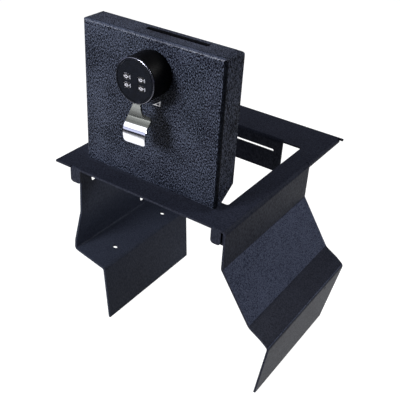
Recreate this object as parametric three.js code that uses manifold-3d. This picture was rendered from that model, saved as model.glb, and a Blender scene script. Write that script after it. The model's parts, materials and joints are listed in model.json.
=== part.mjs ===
// Console safe: a folded steel frame that hangs in a vehicle's centre console, with a
// hollow steel door on hidden hinges and a round dial lock with a thumb lever.
// Millimetres, +Z up. The door stands open at a right angle, and the lever points down,
// a few degrees towards the right.
import * as THREE from 'three';
import * as BufferGeometryUtils from 'three/addons/utils/BufferGeometryUtils.js';
import Module from 'manifold-3d';

const wasm = await Module();
wasm.setup();

// Sheet steel and the clearance between pieces that touch
const sheet = 2.7;
const gap = 0.3;

// Rim, seen from above: a strip round the door opening
const openingWidth = 192.3;
const openingDepth = 180.6;
const leftStrip = 29.5;
const rightStrip = 28;
const nearStrip = 47.4;
const farStrip = 60;
const lipDrop = 6.6;
const tipLength = 2.6;
const tipOverhang = 5.2;
const openingCorner = 3;
const softBend = 4.5;
const bendZone = 8;

// Tabs bent down from the near edge
const tabDepth = 21;
const tabCorner = 4;
const leftTabStart = 24;
const leftTabWidth = 15.6;
const rightTabWidth = 13;
const rightTabGap = 6.5;

// Keeper flange with the slot that takes the cam
const keeperDrop = 49;
const keeperLeftOfSlot = 16.7;
const keeperRightOfSlot = 12.1;
const slotPlay = 0.5;
const slotPastCam = 2.6;
const lidSlotNear = 17.2;
const lidSlotSpare = 4.7;
const lidSlotRound = 3;

// Right side wall, folded from the rim: a straight part, a flare, a ledge and a foot
const wallLength = 198;
const wallStraight = 50.8;
const flareOut = 41.9;
const flareDrop = 62.4;
const flareBend = 14;
const ledgeOut = 16.8;
const ledgeDrop = 9.7;
const ledgeBend = 6;
const footRound = 10.2;
const footFlareDrop = 7.8;
const footBend = 5;
const footTuck = 10;
const footCut = 25;
const footCutHeight = 75;
const standDepth = 206.5;
const wallHole = 3.2;
const wallHoleFromEnd = 51;
const wallHoleDrop = 14;

// Left side wall, a separate folded sheet under the left strip
const panelStart = 11;
const panelEnd = 187;
const panelSquare = 30;
const panelLean = 15.2;
const panelFarLean = 16;
const panelLedgeLean = 4;
const panelInset = 1.7;
const panelShoulder = 26;
const panelSwell = 2.2;
const panelSwellDepth = 68;
const panelTuck = 5.6;
const panelTuckDepth = 113;
const ledgeDepth = 126;
const ledgeWidth = 49.3;
const ledgeFall = 10.1;
const panelFootOut = 13.4;
const panelBend = 14;
const ledgeHole = 6.4;
const ledgeHoleFirst = 43.9;
const ledgeHoleSpacing = 103.9;
const ledgeHoleIn = 32.9;
const cableHole = 12;
const cableHoleY = 36;
const cableHoleDepth = 28.5;
const toolHole = 14;
const toolHoleY = 143.7;
const toolHoleDepth = 114;
const studThread = 5;
const studLength = 11.5;
const studSpacing = 65;
const nutAcross = 8;
const nutHeight = 4;

// Door: a pan with its hollow side away from the face
const sideGap = 1.6;
const nearGap = 1.4;
const farGap = 1.8;
const doorProud = 4.5;
const doorDepth = 35;
const doorBend = 4.5;
const doorCorner = 4.5;
const leftFlangeLean = 3;
const hingeFlange = 8;
const returnDrop = 15;
const returnInset = 8;
const returnBend = 4;
const taperRise = 20;

// Hidden hinges
const hingeDrop = 9.2;
const hingeBack = 11.3;
const hingeSpread = 124;
const pinThickness = 4;
const armThickness = 4;
const armWidth = 7;
const armFoot = 15;
const armFootHeight = 27;
const earThickness = 2.5;
const armPlay = 0.4;
const bracketLength = 18;
const earReach = 5.5;
const earRound = 5;
const pinHeadThickness = 1.6;
const pinHeadRadius = 3.2;
const pinEnd = 2.4;
const clipThickness = 1.2;
const clipRadius = 3.4;
const screwThread = 4;
const armNutAcross = 7;
const armNutHeight = 3.2;

// Lock, measured outwards from the door's face
const lockFromLeft = 99.7;
const lockFromTop = 37.6;
const knobRest = 3;
const knobLocked = 90;
const knobRadius = 25.4;
const knobDepth = 33;
const knobWall = 2;
const flangeThickness = 2;
const flangeRadius = 24.8;
const bezelThickness = 3.3;
const bezelWidth = 2.9;
const bezelBevel = 1.7;
const faceInset = 0.4;
const faceThickness = 2.4;
const sleeveRadius = 9.5;
const sleevePlay = 1.8;
const spindleRadius = 5;
const nutFlats = 27;
const lockNutHeight = 6;
const lockWasherThickness = 1.5;
const lockWasherRadius = 16.7;
const headRadius = 6.5;
const headThickness = 2.2;
const boltRadius = 2.5;
const pinRadius = 2;
const pinTravel = 1.7;
const pinLength = 12;
const pinCollar = 1.2;
const pinX = 17.9;
const pinY = -5.7;

// Cam, a tongue that turns up through the slots in the door and the keeper
const camDepth = 23.2;
const camThickness = 2.8;
const camReach = 61.1;
const camWidth = 46;
const camHub = 13;
const camWasherRadius = 7;
const camWasherThickness = 1.2;
const boltHead = 8;
const boltHeadHeight = 3.2;
const boltGrip = 10;
const squareHalf = 3.5;
const squareProud = 0.2;

// Dials
const dialCount = 10;
const dialFlat = 7.8;
const dialThickness = 6.2;
const dialRow = 9.4;
const dialColumns = [-9.9, 9.2];
const dialRise = -1.3;
const dialProud = 0.3;
const axleRadius = 1.5;
const gripRadius = 0.5;
const webThickness = 2;
const webPlay = 0.5;
const windowWidth = 8;
const windowHeight = 7.2;

// Lever
const leverWidth = 30.8;
const leverTaper = 1;
const leverNeck = 9.8;
const leverFlare = 19.2;
const leverReach = 70;
const leverThickness = 2.8;
const leverRoot = 8;
const leverWaist = 38.2;
const leverShoulder = 42.4;

// Places that follow from the sizes above
const rightWall = leftStrip + openingWidth + rightStrip;
const openingRight = leftStrip + openingWidth;
const openingFar = nearStrip + openingDepth;
const rimDepth = openingFar + farStrip;
const doorWidth = openingWidth - 2 * sideGap;
const doorHeight = openingDepth - nearGap - farGap;
const lockHeight = doorHeight - lockFromTop;
const slotHeight = camThickness + 2 * slotPlay;
const sleeveLength = camDepth - camThickness / 2 - sleevePlay;
const hingeY = nearStrip - hingeBack;
const hingeZ = -hingeDrop;
const doorFaceY = hingeY - (doorProud + hingeDrop);
const doorFootZ = hingeZ + hingeBack + nearGap;
const eye = new THREE.Vector2(hingeZ - doorFootZ, doorFaceY - hingeY);
const hingePlaces = [doorWidth / 2 - hingeSpread / 2, doorWidth / 2 + hingeSpread / 2];
const flangeToe = sheet - 0.5;
const armHookLow = sheet + 1.4;
const armFootBack = -sheet - gap - earThickness;
const armStudPlaces = [armHookLow + armWidth + 5.5, armHookLow + armWidth + 14];
const armNutBack = armFootBack - gap - armNutHeight;
const panelCentre = (panelStart + panelEnd) / 2;
const studPlaces = [panelCentre - studSpacing, panelCentre, panelCentre + studSpacing];
const studX = (leftStrip - panelInset) / 2;
const lockNutFront = -sheet - gap - lockWasherThickness - gap;
const leverRootBack = knobDepth - bezelThickness - gap - leverRoot / 3;
const leverRootEnd = -knobRadius + leverRoot;

// Finishes
const paint = (color, roughness) => new THREE.MeshStandardMaterial({ color, roughness, metalness: 0.1 });
const metal = (color, roughness) => new THREE.MeshStandardMaterial({ color, roughness, metalness: 1 });
const framePaint = paint('#32363f', 0.55);
const doorPaint = paint('#3b4050', 0.6);
const lockBlack = paint('#141519', 0.4);
const facePaint = paint('#2a2a31', 0.5);
const bezelPaint = paint('#4a4b55', 0.35);
const chrome = metal('#d8dadf', 0.08);
const zinc = metal('#a9adb2', 0.35);
const dialPlastic = paint('#15161a', 0.45);

// A corner list [x, y, radius] becomes a list of points, with arcs where a radius is given
function rounded(corners, closed = true, steps = 4) {
  const points = [];
  corners.forEach(([x, y, radius = 0], index) => {
    const here = new THREE.Vector2(x, y);
    const end = !closed && (index === 0 || index === corners.length - 1);
    if (radius === 0 || end) {
      points.push(here);
      return;
    }
    const before = new THREE.Vector2(...corners.at(index - 1));
    const after = new THREE.Vector2(...corners[(index + 1) % corners.length]);
    const towards = before.sub(here);
    const away = after.sub(here);
    const reach = 0.48 * Math.min(towards.length(), away.length());
    towards.normalize();
    away.normalize();
    const half = Math.acos(THREE.MathUtils.clamp(towards.dot(away), -1, 1)) / 2;
    const setback = Math.min(radius / Math.tan(half), reach);
    const arc = setback * Math.tan(half);
    const middle = towards.clone().add(away).normalize();
    const centre = here.clone().addScaledVector(middle, arc / Math.sin(half));
    const start = here.clone().addScaledVector(towards, setback).sub(centre);
    const stop = here.clone().addScaledVector(away, setback).sub(centre);
    const sweep = Math.atan2(start.x * stop.y - start.y * stop.x, start.dot(stop));
    for (let step = 0; step <= steps; step += 1) {
      const turned = start.clone().rotateAround(new THREE.Vector2(), (sweep * step) / steps);
      points.push(turned.add(centre));
    }
  });
  return points;
}

// A line of even thickness round a centreline, as a closed outline
function thickened(line, thickness) {
  const left = [];
  const right = [];
  line.forEach((point, index) => {
    const before = line[Math.max(index - 1, 0)];
    const after = line[Math.min(index + 1, line.length - 1)];
    const along = index === 0 ? after.clone().sub(point) : point.clone().sub(before);
    const next = index === line.length - 1 ? along.clone() : after.clone().sub(point);
    along.normalize();
    next.normalize();
    const mitre = new THREE.Vector2(-along.y - next.y, along.x + next.x).normalize();
    const width = thickness / 2 / Math.max(mitre.dot(new THREE.Vector2(-along.y, along.x)), 0.5);
    left.push(point.clone().addScaledVector(mitre, width));
    right.push(point.clone().addScaledVector(mitre, -width));
  });
  return [...left, ...right.reverse()];
}

function circle(x, y, radius, sides = 24) {
  return Array.from({ length: sides }, (_, index) => {
    const angle = (2 * Math.PI * (index + 0.5)) / sides;
    return new THREE.Vector2(x + radius * Math.cos(angle), y + radius * Math.sin(angle));
  });
}

function rectangle(x0, y0, x1, y1, radius = 0) {
  return rounded([[x0, y0, radius], [x1, y0, radius], [x1, y1, radius], [x0, y1, radius]]);
}

// A closed geometry becomes a solid
function solid(geometry) {
  geometry.deleteAttribute('normal');
  geometry.deleteAttribute('uv');
  const merged = BufferGeometryUtils.mergeVertices(geometry, 1e-4);
  return new wasm.Manifold(new wasm.Mesh({
    numProp: 3,
    vertProperties: new Float32Array(merged.attributes.position.array),
    triVerts: new Uint32Array(merged.index.array),
  }));
}

// An outline drawn in one plane and extruded square to it, between two places
function prism(plane, outline, from, to, holes = []) {
  const shape = new THREE.Shape(outline);
  shape.holes = holes.map((hole) => new THREE.Path(hole));
  const geometry = new THREE.ExtrudeGeometry(shape, { depth: to - from, bevelEnabled: false });
  const turn = new THREE.Matrix4();
  if (plane === 'xy') turn.makeTranslation(0, 0, from);
  if (plane === 'xz') turn.set(1, 0, 0, 0, 0, 0, -1, to, 0, 1, 0, 0, 0, 0, 0, 1);
  if (plane === 'yz') turn.set(0, 0, 1, from, 1, 0, 0, 0, 0, 1, 0, 0, 0, 0, 0, 1);
  return solid(geometry.applyMatrix4(turn));
}

const block = (x0, y0, z0, x1, y1, z1) => prism('xy', rectangle(x0, y0, x1, y1), z0, z1);
const joined = (first, ...others) => others.reduce((body, other) => body.add(other), first);
const cut = (first, ...tools) => tools.reduce((body, tool) => body.subtract(tool), first);

function mesh(name, body, material) {
  const { vertProperties, triVerts } = body.getMesh();
  const geometry = new THREE.BufferGeometry();
  geometry.setAttribute('position', new THREE.BufferAttribute(new Float32Array(vertProperties), 3));
  geometry.setIndex(new THREE.BufferAttribute(new Uint32Array(triVerts), 1));
  geometry.computeVertexNormals();
  const part = new THREE.Mesh(geometry, material);
  part.name = name;
  return part;
}

// A hexagon nut or head about an axis along Z
function hexagon(across, z0, z1, bore = 0) {
  const outline = circle(0, 0, across / Math.sqrt(3), 6);
  return prism('xy', outline, z0, z1, bore > 0 ? [circle(0, 0, bore)] : []);
}

// The cam sweeps from pointing right to pointing up, so both slots run from its left
// edge to the corner that it carries through them
const slotReach = Math.sqrt(camReach ** 2 - lockFromTop ** 2) + slotPastCam;
const slotLeft = -camWidth / 2 - slotPastCam;
const lockX = leftStrip + sideGap + lockFromLeft;

// The rim: a flat plate with the door opening, and everything folded from it
function consoleFrame() {
  const flatRight = openingRight + 7;
  const middle = -sheet / 2;
  const rightTabEnd = rightWall - rightTabGap;
  const tabs = [[leftTabStart, leftTabStart + leftTabWidth], [rightTabEnd - rightTabWidth, rightTabEnd]];
  const keeperLeft = lockX + slotLeft - keeperLeftOfSlot;
  const keeperRight = lockX + slotReach + keeperRightOfSlot;

  const opening = rectangle(leftStrip, nearStrip, openingRight, openingFar, openingCorner);
  const plate = prism('xy', rectangle(0, 0, flatRight, rimDepth), -sheet, 0, [opening]);

  const wallMiddle = rightWall + middle;
  const flareX = wallMiddle + flareOut;
  const flareZ = -wallStraight - flareDrop;
  const ledgeX = flareX + ledgeOut;
  const ledgeZ = flareZ - ledgeDrop;
  const footX = ledgeX + footRound;
  const wallLine = rounded([
    [flatRight - 1, middle],
    [wallMiddle, middle, softBend],
    [wallMiddle, -wallStraight, softBend],
    [flareX, flareZ, flareBend],
    [ledgeX, ledgeZ, ledgeBend],
    [footX, ledgeZ - footFlareDrop, footBend],
    [footX - footTuck, -standDepth],
  ], false, 5);
  const wall = cut(
    prism('xz', thickened(wallLine, sheet), 0, wallLength),
    block(rightWall, -1, -standDepth - sheet, footX, wallLength + 1, -standDepth),
    prism('yz', [
      new THREE.Vector2(wallLength - footCut, -standDepth - 1),
      new THREE.Vector2(wallLength + 1, -standDepth - 1),
      new THREE.Vector2(wallLength + 1, -standDepth + footCutHeight),
      new THREE.Vector2(wallLength, -standDepth + footCutHeight),
    ], rightWall, footX + sheet),
    prism('yz', circle(wallLength - wallHoleFromEnd, ledgeZ - wallHoleDrop, wallHole / 2, 12),
      ledgeX, footX + sheet),
  );

  // Past the wall the bend ends in a short lip, and the far edge keeps a flat tip
  const lip = prism('xz', thickened(rounded([
    [flatRight - 1, middle],
    [wallMiddle, middle, softBend],
    [wallMiddle, -lipDrop],
  ], false, 5), sheet), wallLength - 1, rimDepth);
  const tipEnd = rightWall + tipOverhang;
  const tip = prism('xy', rectangle(flatRight, rimDepth - tipLength, tipEnd, rimDepth), -sheet, 0);

  const tabSolids = tabs.map(([from, to]) => prism('yz', thickened(rounded([
    [bendZone + 1, middle],
    [-middle, middle, softBend / 1.5],
    [-middle, -tabDepth],
  ], false), sheet), from, to).intersect(
    prism('xz', rectangle(from, -tabDepth, to, tabCorner * 2, tabCorner), -1, bendZone + 2),
  ));
  const tabRooms = tabs.map(([from, to]) => block(from, -1, -sheet - 1, to, bendZone, 1));

  const keeperY = openingFar - middle;
  const keeper = cut(
    prism('yz', thickened(rounded([
      [openingFar + bendZone + 1, middle],
      [keeperY, middle, softBend],
      [keeperY, -keeperDrop],
    ], false), sheet), keeperLeft, keeperRight),
    prism('xz', rectangle(
      lockX + slotLeft,
      doorProud - camDepth - slotHeight / 2,
      lockX + slotReach,
      doorProud - camDepth + slotHeight / 2,
      slotHeight / 2,
    ), openingFar - 1, openingFar + sheet + 1),
  );
  const keeperRoom = block(keeperLeft, openingFar - 1, -sheet - 1, keeperRight, openingFar + bendZone, 1);

  const wallReturn = block(
    rightTabEnd - rightTabWidth + 2, sheet + gap, -tabDepth,
    rightWall - sheet / 2, 2 * sheet + gap, -sheet / 2,
  );
  const studs = studPlaces.map((y) => prism('xy', circle(studX, y, studThread / 2, 12),
    -studLength - sheet, middle));
  const folds = [wall, lip, tip, keeper, wallReturn, ...tabSolids];
  return joined(cut(plate, ...tabRooms, keeperRoom), ...folds, ...studs);
}

// The left wall hangs on studs under the left strip and folds in to a ledge and a foot.
// Both its ends are square above and lean towards the front of the safe below.
function leftSidePanel() {
  const half = sheet / 2;
  const top = -sheet - gap - half;
  const x = leftStrip - panelInset + half;
  const waist = x - panelTuck;
  const ledgeEnd = waist + ledgeWidth;
  const ledgeEndZ = -ledgeDepth - ledgeFall;
  const line = rounded([
    [sheet, top],
    [x, top, 4],
    [x, -panelShoulder, 30],
    [x + panelSwell, -panelSwellDepth, panelBend],
    [waist, -panelTuckDepth, panelBend],
    [waist, -ledgeDepth, softBend],
    [ledgeEnd, ledgeEndZ, softBend],
    [ledgeEnd + panelFootOut, -standDepth],
    [ledgeEnd + panelFootOut, -standDepth - sheet],
  ], false, 5);
  const ends = [
    [panelStart, 0],
    [panelStart, -panelSquare],
    [panelStart - panelLean, -standDepth],
    [panelEnd - panelFarLean, -standDepth],
    [panelEnd - panelLedgeLean, ledgeEndZ],
    [panelEnd, -ledgeDepth],
    [panelEnd, 0],
  ].map(([y, z]) => new THREE.Vector2(y, z));
  return cut(
    prism('xz', thickened(line, sheet), panelStart - panelLean, panelEnd).intersect(
      prism('yz', ends, 0, ledgeEnd + panelFootOut + sheet)),
    prism('yz', circle(cableHoleY, -cableHoleDepth, cableHole / 2), 0, x + sheet),
    prism('yz', circle(toolHoleY, -toolHoleDepth, toolHole / 2), 0, x + sheet),
    ...[0, 1].map((index) => prism('xy',
      circle(waist + ledgeHoleIn, ledgeHoleFirst + index * ledgeHoleSpacing, ledgeHole / 2),
      ledgeEndZ - sheet, sheet - ledgeDepth)),
    ...studPlaces.map((y) => prism('xy',
      circle(studX, y, studThread / 2 + gap, 16), top - sheet, top + sheet)),
  );
}

// The door pan, face at z = 0 and hollow towards -z; x from its left side, y from its foot.
// Past the slot its free edge is folded down once more.
function panBody(inset) {
  const past = inset > 0 ? 9 : 0;
  const bend = Math.max(doorBend - inset, 1);
  const corner = Math.max(doorCorner - inset, 1);
  const back = -doorDepth - past;
  const right = doorWidth - inset;
  const top = doorHeight - inset;
  const leftBack = inset - (leftFlangeLean * back) / doorDepth;
  const foot = inset > 0 ? [[inset, back]] : [[taperRise, back], [flangeToe, -hingeFlange, 3]];
  const side = prism('yz', rounded([
    ...foot,
    [inset, -inset, bend],
    [top, -inset, bend],
    [top, back],
  ]), 0, doorWidth);
  const plan = prism('xz', rounded([
    [right, back],
    [right, -inset, bend],
    [inset, -inset, bend],
    [leftBack, back],
  ]), 0, doorHeight);
  const front = prism('xy', rectangle(inset, inset, right, top, corner), back, 0);
  return side.intersect(plan).intersect(front);
}

function doorPan() {
  const slot = prism('xz', rectangle(
    lockFromLeft + slotLeft,
    -camDepth - slotHeight / 2,
    lockFromLeft + slotReach + lidSlotSpare,
    -lidSlotNear,
    lidSlotRound,
  ), doorHeight - sheet - 1, doorHeight + 1);
  const lockHole = prism('xy', circle(lockFromLeft, lockHeight, sleeveRadius + gap), -9, 9);
  const middle = -sheet / 2;
  const returnEnd = doorWidth - returnInset;
  const returnRoom = block(
    returnInset, doorHeight - sheet - 1, -doorDepth - 1,
    returnEnd, doorHeight + 1, -doorDepth + bendZone,
  );
  const fold = prism('yz', thickened(rounded([
    [doorHeight + middle, -doorDepth + bendZone + 1],
    [doorHeight + middle, -doorDepth - middle, returnBend],
    [doorHeight - returnDrop, -doorDepth - middle],
  ], false), sheet), returnInset, returnEnd);
  const studs = hingePlaces.flatMap((x) => armStudPlaces.map((y) => prism(
    'xy', circle(x, y, screwThread / 2, 12), armNutBack - 1, -sheet / 2,
  )));
  return joined(cut(panBody(0), panBody(sheet), slot, lockHole, returnRoom), fold, ...studs);
}

// A gooseneck that passes under the near strip and comes up behind the door
function hingeArm(x) {
  const half = armWidth / 2;
  const stop = -(nearStrip - doorFaceY) - gap;
  const back = stop - armWidth;
  const hook = rounded([
    [eye.x - half, eye.y + half, half * 0.98],
    [eye.x + half, eye.y + half, half * 0.98],
    [eye.x + half, stop, 1],
    [armHookLow, stop, 1],
    [armHookLow, -sheet - gap - 1],
    [armHookLow + armWidth, -sheet - gap - 1],
    [armHookLow + armWidth, back, 5],
    [eye.x - half, back, 6],
  ]);
  const bore = circle(eye.x, eye.y, pinThickness / 2 + gap, 20);
  const foot = rectangle(x - armFoot / 2, armHookLow, x + armFoot / 2, armHookLow + armFootHeight, 3);
  return cut(
    joined(
      prism('yz', hook, x - armThickness / 2, x + armThickness / 2, [bore]),
      prism('xy', foot, armFootBack, -sheet - gap),
    ),
    ...armStudPlaces.map((y) => prism('xy', circle(x, y, screwThread / 2 + gap, 16), -20, 0)),
  );
}

function hingeBracket(x) {
  const top = -sheet - gap;
  const inner = armThickness / 2 + armPlay;
  const outer = inner + earThickness;
  const front = hingeY - bracketLength;
  const ear = rounded([
    [front, top],
    [front, top - earThickness - 1, 1.5],
    [hingeY - earReach, hingeZ - earReach, earRound],
    [hingeY + earReach, hingeZ - earReach, earRound],
    [hingeY + earReach, top, 1],
  ]);
  const bore = circle(hingeY, hingeZ, pinThickness / 2 + gap, 20);
  return joined(
    prism('yz', ear, x - outer, x - inner, [bore]),
    prism('yz', ear, x + inner, x + outer, [bore]),
    block(x - inner - 1, front, top - earThickness, x + inner + 1, hingeY - armWidth / 2 - 3, top),
  );
}

function hingePin(x) {
  const outer = armThickness / 2 + armPlay + earThickness + gap;
  const shaft = circle(hingeY, hingeZ, pinThickness / 2, 20);
  const head = circle(hingeY, hingeZ, pinHeadRadius, 20);
  return joined(
    prism('yz', shaft, x - outer - pinHeadThickness / 2, x + outer + pinEnd),
    prism('yz', head, x - outer - pinHeadThickness, x - outer),
  );
}

function pinClip(x) {
  const inner = x + armThickness / 2 + armPlay + earThickness + gap;
  const bore = circle(hingeY, hingeZ, pinThickness / 2 + gap, 20);
  return prism('yz', circle(hingeY, hingeZ, clipRadius, 20), inner, inner + clipThickness, [bore]);
}

// Lock pieces: the axis is local z, pointing out of the door, with y up the door
const housingBack = gap + flangeThickness + gap;
const headBack = housingBack + knobWall + gap;
const housingFront = knobDepth - bezelThickness - gap;
const faceFront = knobDepth - faceInset;
const faceBack = faceFront - faceThickness;
const dialAxis = faceFront + dialProud - dialFlat;
const dialCorner = dialFlat / Math.cos(Math.PI / dialCount);
const dialHeights = [dialRise + dialRow / 2, dialRise - dialRow / 2];
const webSide = dialRow / 2 + dialThickness / 2 + webPlay;
const axleReach = webSide + webThickness + 0.8;
const cavityRadius = knobRadius - knobWall;
const camBack = -camDepth - camThickness / 2;
const camFront = -camDepth + camThickness / 2;
const washerBack = camBack - squareProud - gap - camWasherThickness;

function lockSleeve() {
  const holes = [knobRest, knobLocked].map((turn) => {
    const spot = new THREE.Vector2(pinX, pinY);
    spot.rotateAround(new THREE.Vector2(), THREE.MathUtils.degToRad(turn));
    return circle(spot.x, spot.y, pinRadius + gap, 16);
  });
  return cut(
    joined(
      prism('xy', circle(0, 0, flangeRadius, 64), gap, gap + flangeThickness, holes),
      prism('xy', circle(0, 0, sleeveRadius, 32), -sleeveLength, gap + flangeThickness / 2),
    ),
    prism('xy', circle(0, 0, spindleRadius + gap), -sleeveLength - 1, 9),
  );
}

function lockWasher() {
  return prism('xy', circle(0, 0, lockWasherRadius, 32), lockNutFront + gap, -sheet - gap,
    [circle(0, 0, sleeveRadius + gap, 32)]);
}

function lockNut() {
  return hexagon(nutFlats, lockNutFront - lockNutHeight, lockNutFront, sleeveRadius + gap);
}

// The housing is a cup with three webs that carry the dials' axles
function knobHousing() {
  const cup = cut(
    prism('xy', circle(0, 0, knobRadius, 72), housingBack, housingFront),
    prism('xy', circle(0, 0, cavityRadius, 60), housingBack + knobWall, housingFront + 1),
  );
  const room = prism('xy', circle(0, 0, cavityRadius + 0.5, 60), housingBack + 1, housingFront - webPlay);
  const webs = [-webSide - webThickness, -webThickness / 2, webSide].map((low) => block(
    -knobRadius, dialRise + low, housingBack + 1,
    knobRadius, dialRise + low + webThickness, knobDepth,
  ));
  const axleHoles = dialColumns.map((x) => prism('xz', circle(x, dialAxis, axleRadius + gap, 16),
    dialRise - axleReach - gap, dialRise + axleReach + gap));
  const neckRoom = leverNeck / 2 + gap;
  return cut(
    joined(cup, joined(...webs).intersect(room)),
    ...axleHoles,
    prism('xy', circle(0, 0, spindleRadius + gap), 0, headBack + 1),
    prism('xy', circle(0, 0, headRadius + gap, 32), headBack - gap, headBack + headThickness + gap),
    prism('xy', circle(pinX, pinY, pinRadius + gap, 16), 0, headBack),
    block(-neckRoom, -knobRadius - 1, leverRootBack - gap, neckRoom, leverRootEnd + gap, 99),
  );
}

// A ring whose front edge is bevelled
function bezelRing() {
  const inner = knobRadius - bezelWidth;
  const back = knobDepth - bezelThickness;
  const outline = [
    [inner, back],
    [knobRadius, back],
    [knobRadius, knobDepth - bezelBevel],
    [knobRadius - bezelBevel, knobDepth],
    [inner, knobDepth],
    [inner, back],
  ].map(([x, y]) => new THREE.Vector2(x, y));
  return solid(new THREE.LatheGeometry(outline, 72).rotateX(Math.PI / 2));
}

function dialFace() {
  const plate = prism('xy', circle(0, 0, knobRadius - bezelWidth - gap, 64), faceBack, faceFront);
  const windows = dialColumns.flatMap((x) => dialHeights.map((y) => joined(
    block(x - windowWidth / 2, y - windowHeight / 2, 0, x + windowWidth / 2, y + windowHeight / 2, 99),
    prism('xz', circle(x, dialAxis, dialCorner + gap, 40), y - windowHeight / 2, y + windowHeight / 2),
  )));
  return cut(plate, ...windows);
}

function dialWheel(x, y) {
  const half = Math.PI / dialCount;
  const corners = Array.from({ length: dialCount }, (_, index) => {
    const angle = Math.PI / 2 + (2 * index + 1) * half;
    return new THREE.Vector2(x + dialCorner * Math.cos(angle), dialAxis + dialCorner * Math.sin(angle));
  });
  const bore = circle(x, dialAxis, axleRadius + gap, 16);
  const grips = corners.map((corner) => prism('xz', circle(corner.x, corner.y, gripRadius, 8), -30, 30));
  return cut(prism('xz', corners, y - dialThickness / 2, y + dialThickness / 2, [bore]), ...grips);
}

function dialAxle(x) {
  return prism('xz', circle(x, dialAxis, axleRadius, 16), dialRise - axleReach, dialRise + axleReach);
}

// The lever grows from the knob behind its ring, widens, dips behind the thumb and stands
// out again. Its outer side is given in shares of its reach and of the knob's depth.
function thumbLever() {
  const outside = [
    [0.371, 0.912], [0.444, 0.952], [0.499, 0.97], [0.54, 0.952], [0.577, 0.867], [0.61, 0.8],
    [0.656, 0.873], [0.704, 0.982], [0.764, 1.067], [0.841, 1.109], [0.906, 1.115], [1, 1.085],
  ].map(([reach, depth]) => new THREE.Vector3(-reach * leverReach, depth * knobDepth, 0));
  const curve = new THREE.CatmullRomCurve3(outside, false, 'centripetal');
  const line = curve.getPoints(30).map((point) => new THREE.Vector2(point.x, point.y - leverThickness / 2));
  const blade = prism('yz', thickened(line, leverThickness), -leverWidth, leverWidth);
  const edge = -knobRadius - gap;
  const seat = housingFront - gap;
  const rootLength = 0.7 * leverRoot;
  const neck = leverNeck / 2;
  const root = prism('yz', rounded([
    [leverRootEnd, leverRootBack],
    [leverRootEnd, seat],
    [edge - rootLength, seat],
    [edge - rootLength, leverRootBack + leverThickness / 2],
    [edge - rootLength / 2, leverRootBack],
  ]), -neck, neck);
  const half = leverWidth / 2;
  const waist = leverFlare / 2;
  const tipHalf = half - leverTaper;
  const front = rounded([
    [neck, leverRootEnd + 1],
    [-neck, leverRootEnd + 1],
    [-neck, edge],
    [-waist, -leverWaist, leverNeck / 2],
    [-half, -leverShoulder, 1],
    [-tipHalf, -leverReach, 2.5],
    [tipHalf, -leverReach, 2.5],
    [half, -leverShoulder, 1],
    [waist, -leverWaist, leverNeck / 2],
    [neck, edge],
  ]);
  return joined(root, blade).intersect(prism('xy', front, 0, 2 * knobDepth));
}

function spindle() {
  const square = rectangle(-squareHalf, -squareHalf, squareHalf, squareHalf);
  return cut(
    joined(
      prism('xy', circle(0, 0, headRadius, 32), headBack, headBack + headThickness),
      prism('xy', circle(0, 0, spindleRadius), camFront + gap, headBack + 1),
      prism('xy', square, camBack - squareProud, camFront + 1),
    ),
    prism('xy', circle(0, 0, boltRadius + gap, 16), camBack - 1, camBack + boltGrip + 2),
  );
}

function camPlate() {
  const half = camWidth / 2;
  const spread = Math.asin(half / camReach);
  const tip = Array.from({ length: 17 }, (_, index) => {
    const angle = spread * (index / 8 - 1);
    return new THREE.Vector2(camReach * Math.cos(angle), camReach * Math.sin(angle));
  });
  const waist = camReach * 0.4;
  const hub = rounded([
    [waist, camHub * 1.5, 20],
    [0, camHub, 9],
    [-camHub, camHub, 11],
    [-camHub, -camHub, 11],
    [0, -camHub, 9],
    [waist, -camHub * 1.5, 20],
  ]);
  const hole = rectangle(-squareHalf - gap, -squareHalf - gap, squareHalf + gap, squareHalf + gap);
  return prism('xy', [...tip, ...hub], camBack, camFront, [hole]);
}

function camWasher() {
  const hole = circle(0, 0, boltRadius + gap, 16);
  return prism('xy', circle(0, 0, camWasherRadius), washerBack, washerBack + camWasherThickness, [hole]);
}

function camBolt() {
  const seat = washerBack - gap;
  return joined(
    hexagon(boltHead, seat - boltHeadHeight, seat),
    prism('xy', circle(0, 0, boltRadius, 16), seat - 1, camBack + boltGrip),
  );
}

// The pin that stops the knob turning until the dials are set
function blockingPin() {
  const collar = housingBack + knobWall + gap + pinTravel;
  return joined(
    prism('xy', circle(pinX, pinY, pinRadius, 16), housingBack, housingBack + pinLength),
    prism('xy', circle(pinX, pinY, pinRadius + pinCollar, 16), collar, collar + pinRadius),
  );
}

function place(name, x, y, z, ...children) {
  const group = new THREE.Group();
  group.name = name;
  group.position.set(x, y, z);
  group.add(...children);
  return group;
}

const sides = ['left', 'right'];
const doorX = leftStrip + sideGap;

const knob = place('knob', 0, 0, 0,
  mesh('knob_housing', knobHousing(), lockBlack),
  mesh('bezel_ring', bezelRing(), bezelPaint),
  mesh('dial_face', dialFace(), facePaint),
  mesh('thumb_lever', thumbLever(), chrome),
  mesh('spindle', spindle(), zinc),
  mesh('cam_plate', camPlate(), zinc),
  mesh('cam_washer', camWasher(), zinc),
  mesh('cam_bolt', camBolt(), zinc),
  mesh('blocking_pin', blockingPin(), zinc),
  ...dialColumns.map((x, index) => mesh(`dial_axle_${sides[index]}`, dialAxle(x), zinc)),
  ...dialColumns.flatMap((x, column) => dialHeights.map((y, row) => mesh(
    `dial_wheel_${2 * column + row + 1}`, dialWheel(x, y), dialPlastic,
  ))));

knob.rotation.z = THREE.MathUtils.degToRad(knobRest);

const lock = place('lock', lockFromLeft, lockHeight, 0,
  mesh('lock_sleeve', lockSleeve(), lockBlack),
  mesh('lock_washer', lockWasher(), zinc),
  mesh('lock_nut', lockNut(), zinc),
  knob);

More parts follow.
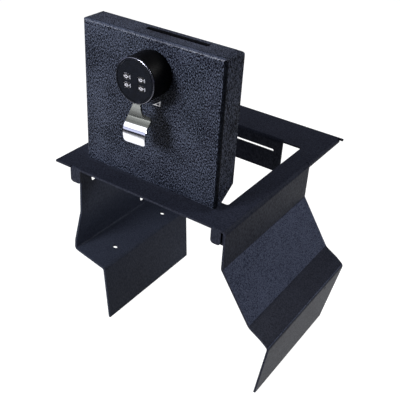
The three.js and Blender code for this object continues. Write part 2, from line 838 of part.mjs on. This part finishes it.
const door = place('door', doorX, doorFaceY, doorFootZ,
  mesh('door_pan', doorPan(), doorPaint),
  ...hingePlaces.map((x, index) => mesh(`hinge_arm_${sides[index]}`, hingeArm(x), zinc)),
  ...hingePlaces.flatMap((x, index) => armStudPlaces.map((y, row) => {
    const shape = hexagon(armNutAcross, armNutBack, armFootBack - gap, screwThread / 2 + gap);
    const nut = mesh(`arm_nut_${sides[index]}_${row + 1}`, shape, zinc);
    nut.position.set(x, y, 0);
    return nut;
  })),
  lock);
door.rotation.x = Math.PI / 2;

const frame = place('frame', 0, 0, 0,
  mesh('console_frame', consoleFrame(), framePaint),
  mesh('left_side_panel', leftSidePanel(), framePaint),
  ...studPlaces.map((y, index) => {
    const top = -2 * sheet - 2 * gap;
    const shape = hexagon(nutAcross, top - nutHeight, top, studThread / 2 + gap);
    const nut = mesh(`panel_nut_${index + 1}`, shape, zinc);
    nut.position.set(studX, y, 0);
    return nut;
  }),
  ...hingePlaces.map((x, index) => mesh(`hinge_bracket_${sides[index]}`, hingeBracket(doorX + x), zinc)),
  ...hingePlaces.map((x, index) => mesh(`hinge_pin_${sides[index]}`, hingePin(doorX + x), zinc)),
  ...hingePlaces.map((x, index) => mesh(`pin_clip_${sides[index]}`, pinClip(doorX + x), zinc)));

// The origin is under the middle of the whole safe, at the height of its feet
const safe = place('console_safe', 0, 0, 0, frame, door);
const extent = new THREE.Box3().setFromObject(safe);
const centre = extent.getCenter(new THREE.Vector3());
safe.position.set(-centre.x, -centre.y, -extent.min.z);

export default safe;
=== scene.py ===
import json
import math

import bmesh
import bpy
import numpy as np
from mathutils import Matrix, Vector


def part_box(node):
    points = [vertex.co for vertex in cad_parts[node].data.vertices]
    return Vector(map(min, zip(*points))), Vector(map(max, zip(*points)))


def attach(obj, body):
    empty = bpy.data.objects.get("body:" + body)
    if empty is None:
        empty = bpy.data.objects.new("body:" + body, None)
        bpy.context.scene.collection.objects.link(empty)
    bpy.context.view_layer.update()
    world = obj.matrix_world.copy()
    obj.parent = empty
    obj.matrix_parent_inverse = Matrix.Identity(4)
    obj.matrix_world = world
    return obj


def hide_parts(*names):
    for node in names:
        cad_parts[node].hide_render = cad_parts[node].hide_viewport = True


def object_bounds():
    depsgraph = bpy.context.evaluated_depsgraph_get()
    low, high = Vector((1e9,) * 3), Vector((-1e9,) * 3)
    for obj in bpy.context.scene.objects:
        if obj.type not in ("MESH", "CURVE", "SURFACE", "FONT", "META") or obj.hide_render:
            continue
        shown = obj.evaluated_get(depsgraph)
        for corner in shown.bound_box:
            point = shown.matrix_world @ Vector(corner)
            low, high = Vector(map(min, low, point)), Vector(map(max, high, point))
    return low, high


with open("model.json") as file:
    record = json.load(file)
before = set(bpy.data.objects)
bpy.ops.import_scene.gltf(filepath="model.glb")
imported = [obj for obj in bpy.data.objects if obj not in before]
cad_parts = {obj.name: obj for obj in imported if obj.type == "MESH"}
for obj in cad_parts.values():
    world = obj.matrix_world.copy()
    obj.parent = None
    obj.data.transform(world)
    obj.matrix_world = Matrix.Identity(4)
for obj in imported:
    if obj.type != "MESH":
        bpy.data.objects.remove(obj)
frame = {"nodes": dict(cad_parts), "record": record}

MM = 0.001
cad_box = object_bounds()
body_of = {node: body for body, nodes in frame["record"]["behaviour"]["bodies"].items() for node in nodes}

# Places on the safe, read from the frame
ring_low, ring_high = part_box("bezel_ring")
lid_low, lid_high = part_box("door_pan")
LOCK_X = (ring_low.x + ring_high.x) / 2
LOCK_Z = (ring_low.z + ring_high.z) / 2
KNOB_RADIUS = (ring_high.x - ring_low.x) / 2
LID_FACE = lid_low.y
KNOB_FRONT = ring_low.y
DIAL_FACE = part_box("dial_face")[0].y
joint_of = {joint["name"]: joint for joint in frame["record"]["behaviour"]["joints"]}
wheel_way = joint_of["dial_1_turn"]["axis"]
LOCK_TURN = math.atan2(-wheel_way[0], wheel_way[2])


# Colours and materials


def linear(hex_colour):
    """An sRGB hex colour as linear red, green, blue and alpha."""
    parts = [int(hex_colour[i : i + 2], 16) / 255 for i in (1, 3, 5)]
    return (*[c / 12.92 if c <= 0.04045 else ((c + 0.055) / 1.055) ** 2.4 for c in parts], 1.0)


def feed(tree, node, inputs):
    """Gives a node's inputs, by name or number, each as a value or as another node's output."""
    for place, value in inputs.items():
        socket = node.inputs[place]
        if isinstance(value, bpy.types.NodeSocket):
            tree.links.new(value, socket)
        else:
            socket.default_value = value


def add(tree, kind, inputs, output=0, stops=None, **settings):
    """Adds one node with its inputs and settings, and hands back one of its outputs. stops are the two
    (position, hex colour) pairs of a colour ramp."""
    node = tree.nodes.new(kind)
    for name, value in settings.items():
        setattr(node, name, value)
    if stops:
        for element, (position, colour) in zip(node.color_ramp.elements, stops):
            element.position = position
            element.color = linear(colour)
    feed(tree, node, inputs)
    return node.outputs[output]


def new_material(name):
    """A material with a bare shader, and its tree, shader and Object coordinates."""
    material = bpy.data.materials.new(name)
    material.use_nodes = True
    tree = material.node_tree
    shader = tree.nodes["Principled BSDF"]
    place = add(tree, "ShaderNodeTexCoord", {}, "Object")
    return material, tree, shader, place


def powder_coat(name, dark, light, grain, depth, start, end, gloss):
    """Textured polyester powder coat on steel: a semi-matt skin of drawn-out grains that catch the
    light, with valleys between them and a cloudy drift of tone. grain is a grain's width, drawn coarser
    than the real half millimetre so that it shows, and depth is its height. start and end set how
    sharply the grains stand out, and gloss is the shine of the grains, while the valleys between them
    stay matt."""
    grain_stretch = 0.48
    grains_to_noise = 0.9
    drift_width = 40 * MM
    drift_share = 0.15
    valley_gloss = 0.03
    material, tree, shader, place = new_material(name)
    drawn = add(tree, "ShaderNodeMapping", {"Vector": place, "Scale": (1.0, 1.0, grain_stretch)})
    fine = {"Vector": drawn, "Scale": grains_to_noise / grain, "Detail": 1.5, "Roughness": 0.6}
    grains = add(tree, "ShaderNodeTexNoise", fine)
    drift = add(tree, "ShaderNodeTexNoise", {"Vector": place, "Scale": 1 / drift_width, "Detail": 2.0})
    shade = add(tree, "ShaderNodeMath", {0: drift, 1: drift_share, 2: grains}, operation="MULTIPLY_ADD")
    colour = add(tree, "ShaderNodeValToRGB", {"Fac": shade}, stops=[(start, dark), (end, light)])
    bump = add(tree, "ShaderNodeBump", {"Height": grains, "Distance": depth, "Strength": 1.0})
    spread = {"Value": shade, "From Min": start, "From Max": end, "To Min": valley_gloss, "To Max": gloss}
    shine = add(tree, "ShaderNodeMapRange", spread)
    # A middle level stands on the socket as well, for an export that drops the linked one
    feed(tree, shader, {"Specular IOR Level": gloss / 2})
    feed(tree, shader, {
        "Base Color": colour, "Normal": bump, "Specular IOR Level": shine, "Roughness": 0.45, "IOR": 1.5,
    })
    return material


def satin_black():
    """Satin black lacquer on turned steel: smooth and deep, with a faint unevenness about a millimetre
    across."""
    material, tree, shader, place = new_material("satin_black_lacquer")
    flow = add(tree, "ShaderNodeTexNoise", {"Vector": place, "Scale": 900.0, "Detail": 2.0})
    bump = add(tree, "ShaderNodeBump", {"Height": flow, "Distance": 0.02 * MM, "Strength": 0.6})
    feed(tree, shader, {
        "Base Color": linear("#020203"), "Normal": bump, "Roughness": 0.45, "IOR": 1.5,
        "Specular IOR Level": 0.08,
    })
    return material


def face_enamel():
    """Dark grey enamel on the dial's face, matt and slightly uneven, in clouds about 5 mm wide."""
    material, tree, shader, place = new_material("grey_enamel")
    cloud = add(tree, "ShaderNodeTexNoise", {"Vector": place, "Scale": 220.0, "Detail": 3.0})
    colour = add(tree, "ShaderNodeValToRGB", {"Fac": cloud}, stops=[(0.3, "#04060c"), (0.7, "#080b13")])
    feed(tree, shader, {"Base Color": colour, "Roughness": 0.5, "IOR": 1.5, "Specular IOR Level": 0.07})
    return material


def bright_bevel():
    """Polished aluminium of the ring's turned bevel, which catches the light in thin arcs and is a
    little duller here and there."""
    material, tree, shader, place = new_material("polished_aluminium")
    wear = add(tree, "ShaderNodeTexNoise", {"Vector": place, "Scale": 700.0, "Detail": 2.0})
    rough = add(tree, "ShaderNodeMapRange", {"Value": wear, "To Min": 0.12, "To Max": 0.28})
    feed(tree, shader, {"Base Color": linear("#73747f"), "Roughness": rough, "Metallic": 1.0})
    return material


def chrome_plate():
    """Polished chrome plate on a pressed steel lever, a clean mirror with light handling marks 4 mm
    wide."""
    material, tree, shader, place = new_material("chrome_plate")
    marks = add(tree, "ShaderNodeTexNoise", {"Vector": place, "Scale": 260.0, "Detail": 3.0})
    wear = add(tree, "ShaderNodeMapRange", {"Value": marks, "To Min": 0.05, "To Max": 0.14})
    feed(tree, shader, {"Base Color": linear("#e2e3ea"), "Roughness": wear, "Metallic": 1.0})
    return material


def satin_nickel():
    """Satin-brushed nickel on the lever's neck, which stays an even grey where the tip mirrors the
    room. Its brush strokes run along the neck, ten times as long as wide."""
    material, tree, shader, place = new_material("satin_nickel_plate")
    strokes = add(tree, "ShaderNodeMapping", {"Vector": place, "Scale": (1.0, 1.0, 0.1)})
    brushed = add(tree, "ShaderNodeTexNoise", {"Vector": strokes, "Scale": 1500.0, "Detail": 2.0})
    colour = add(tree, "ShaderNodeValToRGB", {"Fac": brushed}, stops=[(0.3, "#5a5c5a"), (0.7, "#666866")])
    feed(tree, shader, {"Base Color": colour, "Roughness": 0.6, "Metallic": 1.0})
    return material


def zinc_plate():
    """Bright zinc plate on steel hardware: grey-blue, with a cloudy passivated sheen in patches 5 mm
    wide."""
    material, tree, shader, place = new_material("zinc_plated_steel")
    cloud = add(tree, "ShaderNodeTexNoise", {"Vector": place, "Scale": 180.0, "Detail": 4.0})
    colour = add(tree, "ShaderNodeValToRGB", {"Fac": cloud}, stops=[(0.3, "#6c7076"), (0.7, "#8e9399")])
    rough = add(tree, "ShaderNodeMapRange", {"Value": cloud, "To Min": 0.5, "To Max": 0.65})
    feed(tree, shader, {"Base Color": colour, "Roughness": rough, "Metallic": 1.0})
    return material


def moulded_black():
    """Moulded black ABS of the number wheels, with the fine grain of its mould."""
    material, tree, shader, place = new_material("black_abs")
    grain = add(tree, "ShaderNodeTexNoise", {"Vector": place, "Scale": 1500.0, "Detail": 2.0})
    bump = add(tree, "ShaderNodeBump", {"Height": grain, "Distance": 0.02 * MM, "Strength": 0.5})
    feed(tree, shader, {"Base Color": linear("#101013"), "Normal": bump, "Roughness": 0.45, "IOR": 1.53})
    return material


def print_ink(name, colour):
    """Screen-printed or filled marking ink, flat and matt with a slightly broken coat. The same flat
    paint also gives the painted highlight of the lit window walls beside the wheels.
    """
    material, tree, shader, place = new_material(name)
    coat = add(tree, "ShaderNodeTexNoise", {"Vector": place, "Scale": 1200.0, "Detail": 2.0})
    rough = add(tree, "ShaderNodeMapRange", {"Value": coat, "To Min": 0.5, "To Max": 0.7})
    feed(tree, shader, {"Base Color": linear(colour), "Roughness": rough})
    return material


GRAIN = 0.88 * MM
FINE_GRAIN = 1.4 * MM
lid_coat = powder_coat("textured_powder_coat", "#030409", "#3c4252", GRAIN, 0.9 * MM, 0.54, 0.69, 0.2)
# Lighter colours on the fold above the lid's face: painted highlight for the light line along that fold;
# its higher gloss is real shine.
top_fold_painted_highlight_coat = powder_coat(
    "powder_coat_painted_highlight_on_top_fold", "#20242f", "#3b4152", GRAIN, 0.3 * MM, 0.5, 0.7, 0.6
)
# Very dark colours on the fold at the lid's right: painted shade for the dark band along that fold.
side_fold_painted_shade_coat = powder_coat(
    "powder_coat_painted_shade_on_side_fold", "#040508", "#12151c", GRAIN, 0.3 * MM, 0.5, 0.7, 0.05
)
# Very dark colours on the walls of the lid's hollow back and of its slot: painted shade in these recesses.
inside_painted_shade_coat = powder_coat(
    "powder_coat_painted_shade_inside", "#030305", "#0a0b0f", FINE_GRAIN, 0.1 * MM, 0.42, 0.72, 0.05
)
# Lighter colours on the flare of the right wall, which looks up and right towards the side lamp: painted
# light, on top of its bumpier grain.
flare_painted_light_coat = powder_coat(
    "textured_powder_coat_painted_lighter_on_flare", "#1b1f2c", "#3c4254", 1.1 * MM, 0.4 * MM, 0.42, 0.7, 0.15
)
wall_coat = powder_coat("fine_powder_coat", "#15171f", "#1f222d", FINE_GRAIN, 0.12 * MM, 0.42, 0.72, 0.08)
# A lighter copy of the frame's fine coat for the left side panel: painted light, to brighten that panel's
# inner face.
panel_painted_light_coat = powder_coat(
    "fine_powder_coat_painted_lighter_on_panel", "#1e212b", "#272b36", FINE_GRAIN, 0.04 * MM, 0.42, 0.72, 0.05
)
black_lacquer = satin_black()
enamel = face_enamel()
bevel_metal = bright_bevel()
chrome = chrome_plate()
nickel = satin_nickel()
zinc = zinc_plate()
black_plastic = moulded_black()
white_ink = print_ink("white_ink", "#f2f2f2")
wheel_ink = print_ink("pale_grey_ink", "#a8a8b0")
# Grey flat paint for the bars beside the windows: painted highlight for the lit right walls of the
# windows' recesses.
window_wall_painted_highlight = print_ink("window_wall_painted_highlight", "#6f7078")


# Pieces


def show(piece, material, node=None, body=None):
    """Gives a piece its finish and body, and hides the CAD node that it stands for."""
    piece.data.materials.clear()
    piece.data.materials.append(material)
    if piece.name not in bpy.context.scene.collection.objects:
        bpy.context.scene.collection.objects.link(piece)
    if node:
        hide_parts(node)
    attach(piece, body or body_of[node])
    return piece


def finished(node, material, edge):
    """A copy of a CAD node with its triangles joined, flat ones melted together and sharp edges rounded
    to a radius, while its large faces still shade flat."""
    shape = bmesh.new()
    shape.from_mesh(frame["nodes"][node].data)
    bmesh.ops.remove_doubles(shape, verts=shape.verts, dist=0.002 * MM)
    bmesh.ops.dissolve_limit(shape, angle_limit=math.radians(1), verts=shape.verts, edges=shape.edges)
    mesh = bpy.data.meshes.new(node + "_finish")
    shape.to_mesh(mesh)
    shape.free()
    mesh.shade_smooth()
    piece = bpy.data.objects.new(node + "_finish", mesh)
    rounding = piece.modifiers.new("Rounded edges", "BEVEL")
    rounding.width = edge
    rounding.segments = 2
    rounding.limit_method = "ANGLE"
    rounding.angle_limit = math.radians(33)
    flatness = piece.modifiers.new("Large faces shade flat", "WEIGHTED_NORMAL")
    flatness.weight = 100
    return show(piece, material, node)


def round_back(piece, radius):
    """Draws the lid's free back corners in to the round of its folded return: points of its top edge
    beyond the circle of that radius about the fold's axis are brought back to it. The axis lies a
    little low, which leaves room for the rounded edges."""
    edge_room = 0.15 * MM
    mesh = piece.data
    points = np.empty(len(mesh.vertices) * 3)
    mesh.vertices.foreach_get("co", points)
    points = points.reshape(-1, 3)
    axis = np.array([lid_high.y, lid_high.z - edge_room]) - radius
    away = points[:, 1:] - axis
    reach = np.linalg.norm(away, axis=1)
    beyond = (away > 0).all(1) & (reach > radius)
    points[beyond, 1:] = axis + away[beyond] / reach[beyond, None] * radius
    mesh.vertices.foreach_set("co", points.ravel())


def by_face(piece):
    """The middles and normals of a piece's faces, as arrays with a row to each face."""
    faces = piece.data.polygons
    centres = np.empty(len(faces) * 3)
    normals = np.empty(len(faces) * 3)
    faces.foreach_get("center", centres)
    faces.foreach_get("normal", normals)
    return centres.reshape(-1, 3), normals.reshape(-1, 3)


def coat_lid(piece):
    """The lid's coat by place: lighter over the fold above its face, a painted highlight for the light
    line along that fold, and darker, as painted shade, on the fold at its right, on the walls of its
    hollow back and on those of its slot."""
    wall, sheet = 2 * MM, 3 * MM
    centres, normals = by_face(piece)
    low, high = np.array(lid_low), np.array(lid_high)
    inside = ((centres > low + wall) & (centres < high - wall)).all(1)
    well_in = ((centres > low + 6 * MM) & (centres < high - 4 * MM))[:, :2].all(1)
    in_slot = well_in & (centres[:, 2] > high[2] - sheet) & (np.abs(normals[:, 2]) < 0.3)
    top_fold = (normals[:, 1] < -0.4) & (normals[:, 2] > 0.25)
    side_fold = (normals[:, 1] < -0.15) & (normals[:, 0] > 0.3)
    # Coat 1 is painted shade inside the hollow back and the slot, coat 2 is painted shade on the right
    # fold, coat 3 is painted highlight on the top fold.
    kind = np.select([inside | in_slot, side_fold, top_fold], [1, 2, 3], 0)
    for coat in (inside_painted_shade_coat, side_fold_painted_shade_coat, top_fold_painted_highlight_coat):
        piece.data.materials.append(coat)
    piece.data.polygons.foreach_set("material_index", kind)


def coat_frame(piece):
    """The frame's coat by place: coarse on the flare of its right wall, which lies well below the rim
    and looks right and up, and lighter there as painted light for the light that falls on it."""
    centres, normals = by_face(piece)
    below_rim = centres[:, 2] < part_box("left_side_panel")[1].z - 10 * MM
    flare = below_rim & (normals[:, 0] > 0.75) & (normals[:, 2] > 0.4)
    piece.data.materials.append(flare_painted_light_coat)
    piece.data.polygons.foreach_set("material_index", flare.astype(int))


def grid_piece(name, points, material, node=None, body=None, closed=(False, False)):
    """A mesh of a grid of points, rows by columns, closed either way where asked, with its open ends
    filled."""
    rows, columns = points.shape[:2]
    row_ends = rows if closed[0] else rows - 1
    column_ends = columns if closed[1] else columns - 1
    r, c = np.meshgrid(np.arange(row_ends), np.arange(column_ends), indexing="ij")
    right, up = (r + 1) % rows, (c + 1) % columns
    faces = np.stack([r * columns + c, right * columns + c, right * columns + up, r * columns + up], -1)
    mesh = bpy.data.meshes.new(name)
    mesh.from_pydata(points.reshape(-1, 3).tolist(), [], faces.reshape(-1, 4).tolist())
    shape = bmesh.new()
    shape.from_mesh(mesh)
    bmesh.ops.remove_doubles(shape, verts=shape.verts, dist=0.001 * MM)
    bmesh.ops.holes_fill(shape, edges=[e for e in shape.edges if e.is_boundary], sides=0)
    bmesh.ops.recalc_face_normals(shape, faces=shape.faces)
    shape.to_mesh(mesh)
    shape.free()
    mesh.shade_smooth()
    return show(bpy.data.objects.new(name, mesh), material, node, body)


def on_lock(across, up, out):
    """Points on the turned knob in millimetres from its axis and out of the lid, as places in the
    frame."""
    across, up, out = np.broadcast_arrays(across, up, out)
    x = across * math.cos(LOCK_TURN) - up * math.sin(LOCK_TURN)
    z = across * math.sin(LOCK_TURN) + up * math.cos(LOCK_TURN)
    return np.stack([LOCK_X + x * MM, LID_FACE - out * MM, LOCK_Z + z * MM], -1)


def through(stops, count):
    """A smooth line through stops: between each two of them the Catmull-Rom cubic, sampled count times
    in all."""
    stops = np.asarray(stops, float)
    ends = np.vstack([2 * stops[0] - stops[1], stops, 2 * stops[-1] - stops[-2]])
    at = np.linspace(0, len(stops) - 1, count)
    k = np.minimum(at.astype(int), len(stops) - 2)
    t = (at - k)[:, None]
    a, b, c, d = ends[k], ends[k + 1], ends[k + 2], ends[k + 3]
    square, cube = 2 * a - 5 * b + 4 * c - d, 3 * b - a - 3 * c + d
    return 0.5 * (2 * b + (c - a) * t + square * t**2 + cube * t**3)


def pressed_lever():
    """The chrome lever: a sheet carried along its side profile, whose stops are (down from the lock's
    axis, out of the lid, half width) in millimetres. Its section is a rounded rectangle, |x|^24 +
    |y|^32 = 1, half width by half thickness. Its neck is satin and its tip, from polish_from down, is
    polished."""
    thickness, polish_from = 2.8, 49.0
    neck = [
        (19.0, 28.8, 4.7), (23.0, 28.9, 4.7), (26.2, 29.8, 4.9), (30.5, 31.2, 6.2), (34.6, 32.0, 7.9),
        (37.4, 31.6, 9.3), (39.6, 29.6, 10.9), (41.2, 27.6, 13.4), (42.4, 26.6, 15.0),
    ]
    tip = [
        (43.8, 26.7, 15.4), (46.2, 28.9, 15.5), (49.3, 32.4, 15.4), (53.5, 35.2, 15.2), (58, 36.5, 15.0),
        (63.4, 36.8, 14.8), (67.4, 36.4, 14.4), (69.2, 36.0, 13.2), (69.9, 35.85, 11.2),
    ]
    line = through(neck + tip, 160)
    down, out, half = line.T
    along = np.gradient(line[:, :2], axis=0)
    along /= np.linalg.norm(along, axis=1)[:, None]
    turn = np.linspace(0, 2 * math.pi, 48, endpoint=False)
    flat = np.sign(np.cos(turn)) * np.abs(np.cos(turn)) ** (1 / 12)
    thick = np.sign(np.sin(turn)) * np.abs(np.sin(turn)) ** (1 / 16)
    depth = (thick - 1) * thickness / 2
    points = on_lock(
        half[:, None] * flat[None],
        -(down[:, None] - along[:, 1:] * depth[None]),
        out[:, None] + along[:, :1] * depth[None],
    )
    piece = grid_piece("thumb_lever_pressed", points, nickel, "thumb_lever", closed=(False, True))
    piece.data.materials.append(chrome)
    x, y, z = by_face(piece)[0].T
    below = ((x - LOCK_X) * math.sin(LOCK_TURN) - (z - LOCK_Z) * math.cos(LOCK_TURN)) / MM
    piece.data.polygons.foreach_set("material_index", (below > polish_from).astype(int))


def turned_bevel():
    """The ring's bright bevel: its cone from the rim to the front face, a hair proud, swept round the
    axis. Both borders of the cone are tucked into the ring."""
    bevel, skin, tuck = 1.7, 0.04, 0.12
    radius = KNOB_RADIUS / MM
    front = (LID_FACE - KNOB_FRONT) / MM
    across = np.array([0.55, 0.5, 0.0, -0.02])
    edge = np.stack([radius - bevel / 2 + bevel * across, front - bevel / 2 - bevel * across], -1)
    edge[0] -= tuck
    edge[-1] -= tuck
    edge[1:3] += skin
    sweep = np.linspace(0, 2 * math.pi, 144, endpoint=False)[:, None]
    reach, out = edge.T[:, None]
    points = on_lock(reach * np.cos(sweep), reach * np.sin(sweep), out)
    grid_piece("ring_bevel", points, bevel_metal, body="knob", closed=(True, False))


def plate(name, outline, out, thickness, material, body, hole=None):
    """A flat mark on the lid or knob: an outline in lock millimetres, with its top a thickness above
    the surface at out and its foot just in it. With a hole, which has as many corners, it is a
    frame."""
    sunk = 0.2
    outline = np.asarray(outline, float)
    levels = np.array([out - sunk, out + thickness])
    rings = [outline] if hole is None else [outline, np.asarray(hole, float)]
    points = [on_lock(ring[:, 0], ring[:, 1], level) for ring in rings for level in levels]
    count = len(outline)
    here, after = np.arange(count), (np.arange(count) + 1) % count

    def band(first, second):
        """Quads between two rings of points."""
        near, far = first * count, second * count
        return np.stack([near + here, near + after, far + after, far + here], -1).tolist()

    if hole is None:
        faces = band(0, 1) + [list(range(count)), list(range(count, 2 * count))]
    else:
        faces = band(0, 1) + band(2, 3) + band(0, 2) + band(1, 3)
    mesh = bpy.data.meshes.new(name)
    mesh.from_pydata(np.vstack(points).tolist(), [], faces)
    shape = bmesh.new()
    shape.from_mesh(mesh)
    bmesh.ops.recalc_face_normals(shape, faces=shape.faces)
    shape.to_mesh(mesh)
    shape.free()
    return show(bpy.data.objects.new(name, mesh), material, body=body)


def digit_shape(digit, height):
    """A digit's outline as flat triangles: its points, centred, with the digit standing height
    millimetres high."""
    text = bpy.data.curves.new("digit", "FONT")
    text.body = str(digit)
    text.offset = 0.012
    text.resolution_u = 6
    holder = bpy.data.objects.new("digit", text)
    bpy.context.scene.collection.objects.link(holder)
    flat = holder.to_mesh()
    points = np.empty(len(flat.vertices) * 3)
    flat.vertices.foreach_get("co", points)
    points = points.reshape(-1, 3)[:, :2]
    faces = [tuple(face.vertices) for face in flat.polygons]
    holder.to_mesh_clear()
    bpy.data.objects.remove(holder)
    low, high = points.min(0), points.max(0)
    return (points - (low + high) / 2) * height / (high[1] - low[1]), faces


def wheel_digits(number):
    """The ten digits round a wheel: each lies on its facet with its top towards the right, and facet k
    faces (sin 36k, cos 36k) across and out of the knob."""
    facet_depth, skin, height, stretch = 7.8, 0.03, 4.6, 1.06
    centre = Vector(joint_of[f"dial_{number}_turn"]["pos_m"])
    x, z = (centre.x - LOCK_X) / MM, (centre.z - LOCK_Z) / MM
    across = x * math.cos(LOCK_TURN) + z * math.sin(LOCK_TURN)
    up = z * math.cos(LOCK_TURN) - x * math.sin(LOCK_TURN)
    out = (LID_FACE - centre.y) / MM
    points, faces, start = [], [], 0
    for digit in range(10):
        shape, parts = digit_shape(digit, height)
        angle = math.radians(360 / 10 * digit)
        lift = facet_depth + skin
        sideways = shape[:, 1]
        points.append(on_lock(
            across + lift * math.sin(angle) + sideways * math.cos(angle),
            up - shape[:, 0] * stretch,
            out + lift * math.cos(angle) - sideways * math.sin(angle),
        ))
        faces += [tuple(start + corner for corner in part) for part in parts]
        start += len(shape)
    mesh = bpy.data.meshes.new(f"wheel_digits_{number}")
    mesh.from_pydata(np.vstack(points).tolist(), [], faces)
    show(bpy.data.objects.new(f"wheel_digits_{number}", mesh), wheel_ink, body=f"dial_{number}")
    return across, up


coat_frame(finished("console_frame", wall_coat, 0.5 * MM))
finished("left_side_panel", panel_painted_light_coat, 0.5 * MM)
lid = finished("door_pan", lid_coat, 0.6 * MM)
round_back(lid, 4 * MM)
coat_lid(lid)
finished("knob_housing", black_lacquer, 0.5 * MM)
finished("lock_sleeve", black_lacquer, 0.3 * MM)
finished("bezel_ring", enamel, 0.25 * MM)
finished("dial_face", enamel, 0.2 * MM)
for number in (1, 2, 3, 4):
    finished(f"dial_wheel_{number}", black_plastic, 0.15 * MM)
# The rest of the nodes that show are plated hardware
for name in frame["nodes"]:
    if name != "thumb_lever" and not frame["nodes"][name].hide_render:
        finished(name, zinc, 0.2 * MM)
pressed_lever()
turned_bevel()

# Digits on the wheels, and beside each window a grey bar: painted highlight for the lit right wall of the
# window's recess
MARK_THICKNESS = 0.05
BAR_FROM_WHEEL = 4.75
BAR_WIDTH = 1.2
BAR_HEIGHT = 4.2
for number in (1, 2, 3, 4):
    across, up = wheel_digits(number)
    left = across + BAR_FROM_WHEEL - BAR_WIDTH / 2
    low = up - BAR_HEIGHT / 2
    right, high = left + BAR_WIDTH, low + BAR_HEIGHT
    corners = [(left, low), (right, low), (right, high), (left, high)]
    plate(f"painted_highlight_bar_{number}", corners, (LID_FACE - DIAL_FACE) / MM, MARK_THICKNESS, window_wall_painted_highlight, "knob")


def triangle_mark():
    """The white triangle printed on the lid below the knob: three corners from the lock's axis, turned
    back because the lid doesn't turn with the lock, and the same triangle at half its size as the hole."""
    corners = np.array([(0.7, -37.0), (10.2, -37.3), (11.0, -30.5)])
    hole_share = 0.5
    cos, sin = math.cos(LOCK_TURN), math.sin(LOCK_TURN)
    corners = corners @ np.array([[cos, sin], [-sin, cos]]).T
    middle = corners.mean(0)
    hole = middle + (corners - middle) * hole_share
    plate("triangle_mark", corners, 0.0, MARK_THICKNESS, white_ink, "door", hole)


triangle_mark()


# The floor, the lights and the camera


def floor(name, corners, height, colour, glow):
    """A flat matt sheet on the studio's floor, from its corners, lit by itself where the photograph's
    is white."""
    mesh = bpy.data.meshes.new(name)
    mesh.from_pydata([(x, y, height) for x, y in corners], [], [(0, 1, 2, 3)])
    piece = bpy.data.objects.new(name, mesh)
    bpy.context.scene.collection.objects.link(piece)
    material, tree, shader = new_material(name + "_paint")[:3]
    feed(tree, shader, {
        "Base Color": linear(colour), "Roughness": 0.9, "Specular IOR Level": 0.0,
        "Emission Color": linear("#ffffff"), "Emission Strength": glow,
    })
    mesh.materials.append(material)


def soft_light(name, place, power, size):
    """A square white soft box aimed at the middle of the safe, with its power in watts and its side in
    metres."""
    light = bpy.data.lights.new(name, "AREA")
    light.energy = power
    light.size = size
    lamp = bpy.data.objects.new(name, light)
    bpy.context.scene.collection.objects.link(lamp)
    lamp.location = place
    target = Vector((0, -0.05, 0.2))
    lamp.rotation_euler = (target - Vector(place)).to_track_quat("-Z", "Y").to_euler()


def camera():
    """The photograph's view. Its place and its three directions come from matching the lid's and the
    rim's corners in the photograph."""
    data = bpy.data.cameras.new("camera")
    data.sensor_width = 36
    data.lens = 63.5
    data.clip_start = 0.05
    data.clip_end = 30
    right = Vector((0.82312, 0.56531, 0.053826))
    down = Vector((0.340646, -0.415702, -0.843298))
    ahead = Vector((-0.45435, 0.712471, -0.534744))
    lens = bpy.data.objects.new("camera", data)
    bpy.context.scene.collection.objects.link(lens)
    place = Vector((0.398824, -0.676289, 0.6386))
    turned = Matrix((right, -down, -ahead)).transposed().to_4x4()
    lens.matrix_world = Matrix.Translation(place) @ turned
    bpy.context.scene.camera = lens


def studio():
    """Walls of the studio: bright at the horizon and darker towards the ceiling, so flat tops stay
    dark, with a dark curtain on the right in front, which leaves the lid's right-hand fold in shade."""
    world = bpy.data.worlds.new("studio")
    world.use_nodes = True
    tree = world.node_tree
    way = add(tree, "ShaderNodeTexCoord", {}, "Generated")
    height = add(tree, "ShaderNodeSeparateXYZ", {"Vector": way}, "Z")
    sky = add(tree, "ShaderNodeValToRGB", {"Fac": height}, stops=[(0.05, "#e0e4ff"), (0.5, "#2c2e38")])
    right_in_front = (0.7, -0.7, 0.0)
    both = {0: way, 1: right_in_front}
    toward = add(tree, "ShaderNodeVectorMath", both, "Value", operation="DOT_PRODUCT")
    shades = [(0.3, "#ffffff"), (0.85, "#303030")]
    curtain = add(tree, "ShaderNodeValToRGB", {"Fac": toward}, stops=shades)
    lit = add(tree, "ShaderNodeVectorMath", {0: sky, 1: curtain}, operation="MULTIPLY")
    feed(tree, tree.nodes["Background"], {"Color": lit, "Strength": 1.15})
    return world


# A white paper under the safe as far as the view reaches, and a grey floor beyond it
paper = [(-0.52, -0.76), (0.45, -0.07), (-0.28, 1.84), (-1.63, 0.98)]
ground = [(-4.0, -4.0), (4.0, -4.0), (4.0, 4.0), (-4.0, 4.0)]
floor("white_paper", paper, cad_box[0].z, "#8a8a8a", 0.92)
floor("grey_floor", ground, cad_box[0].z - 5 * MM, "#787878", 0.0)

# The key light casts the knob's and the lever's shadow, and the left one gives the lever's tip its
# white band
soft_light("key", (-0.27, -1.0, 0.72), 19, 0.28)
soft_light("left", (-0.81, -1.05, 1.0), 3.0, 0.7)
soft_light("side", (1.15, 0.6, 1.3), 19, 0.6)
soft_light("top", (0.1, 0.1, 1.6), 3.0, 0.8)
bpy.context.scene.world = studio()
bpy.context.scene.view_settings.view_transform = "Standard"
camera()
